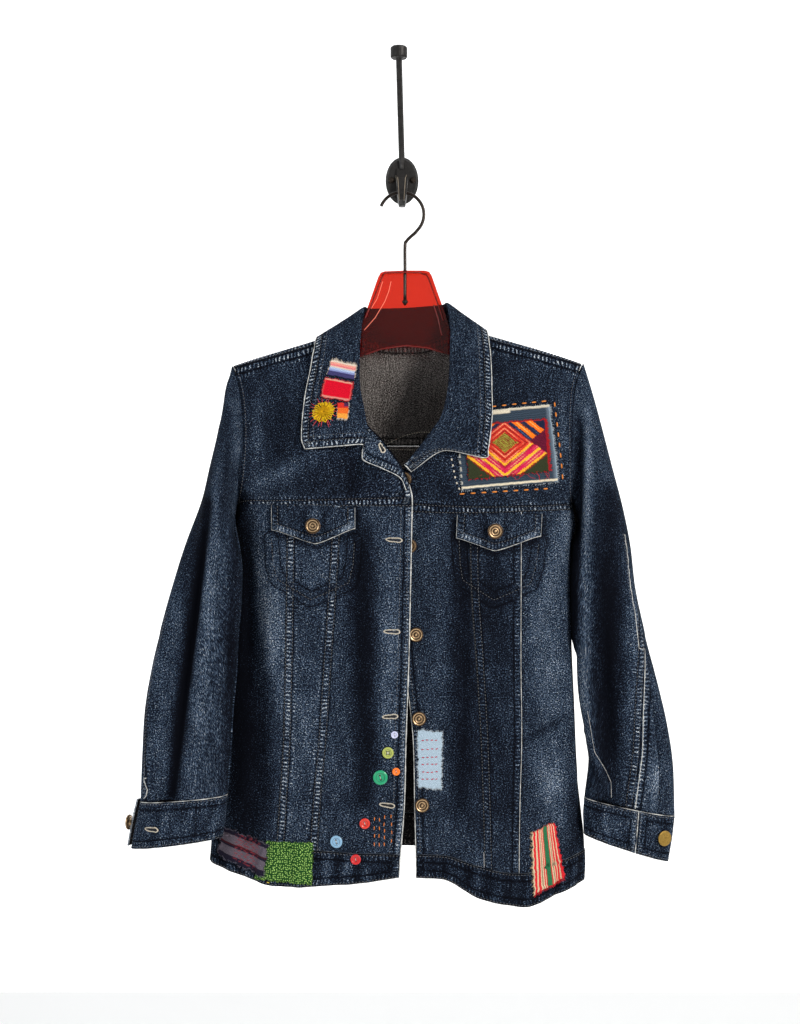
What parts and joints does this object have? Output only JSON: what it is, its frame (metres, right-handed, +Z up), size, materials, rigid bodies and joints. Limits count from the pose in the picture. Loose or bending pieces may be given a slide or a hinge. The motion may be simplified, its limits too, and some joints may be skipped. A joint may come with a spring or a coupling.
{
  "type": "denim jacket on a hanger and wall hook",
  "caption": "Open-front denim jacket with patches and sewn buttons, hanging on a translucent hanger from a cast wall hook.",
  "frame": {"origin": "centre of the wall plate's flat back face, where it meets the wall", "axes": "+Y into the wall, +Z up, +X to the viewer's right"},
  "size_m": [0.65, 0.1321, 1.0117],
  "materials": {
    "denim": "matte",
    "brass": "satin",
    "chest_frame_patch": "matte",
    "chest_textile": "matte",
    "light_denim_patch": "matte",
    "striped_patch": "matte",
    "green_patch": "matte",
    "dark_striped_patch": "matte",
    "collar_ribbon": "matte",
    "collar_red_patch": "matte",
    "collar_orange_patch": "matte",
    "rosette": "matte",
    "button_lavender": "satin",
    "button_lime": "satin",
    "button_green": "satin",
    "button_orange": "satin",
    "button_red_orange": "satin",
    "button_blue": "satin",
    "button_red": "satin",
    "hanger_plastic": "gloss",
    "hanger_wire": "satin",
    "wall_hook": "matte",
    "hook_screw": "satin"
  },
  "bodies": {
    "root": {"front_left_side": "denim", "front_left_middle": "denim", "front_left_centre": "denim", "front_right_centre": "denim", "front_right_middle": "denim", "front_right_side": "denim", "front_yoke_left": "denim", "front_yoke_right": "denim", "back_yoke": "denim", "back_left_side": "denim", "back_centre": "denim", "back_right_side": "denim", "hem_band_left": "denim", "hem_band_right": "denim", "hem_band_back": "denim", "sleeve_left_front": "denim", "sleeve_left_back": "denim", "sleeve_right_front": "denim", "sleeve_right_back": "denim", "cuff_left": "denim", "cuff_right": "denim", "collar": "denim", "facing_corner": "denim", "pocket_flap_left": "denim", "pocket_flap_right": "denim", "front_button_1": "brass", "front_button_2": "brass", "front_button_3": "brass", "front_button_4": "brass", "front_button_5": "brass", "flap_button_left": "brass", "flap_button_right": "brass", "cuff_button_left": "brass", "cuff_button_right": "brass", "chest_frame_patch": "chest_frame_patch", "chest_textile": "chest_textile", "light_denim_patch": "light_denim_patch", "striped_patch": "striped_patch", "green_patch": "green_patch", "dark_striped_patch": "dark_striped_patch", "collar_ribbon": "collar_ribbon", "collar_red_patch": "collar_red_patch", "collar_orange_patch": "collar_orange_patch", "rosette": "rosette", "button_lavender": "button_lavender", "button_lime": "button_lime", "button_green": "button_green", "button_orange": "button_orange", "button_red_orange": "button_red_orange", "button_blue": "button_blue", "button_red": "button_red", "hanger": "hanger_plastic", "hanger_wire": "hanger_wire", "wall_hook": "wall_hook", "hook_screw_left": "hook_screw", "hook_screw_right": "hook_screw"}
  },
  "joints": []
}
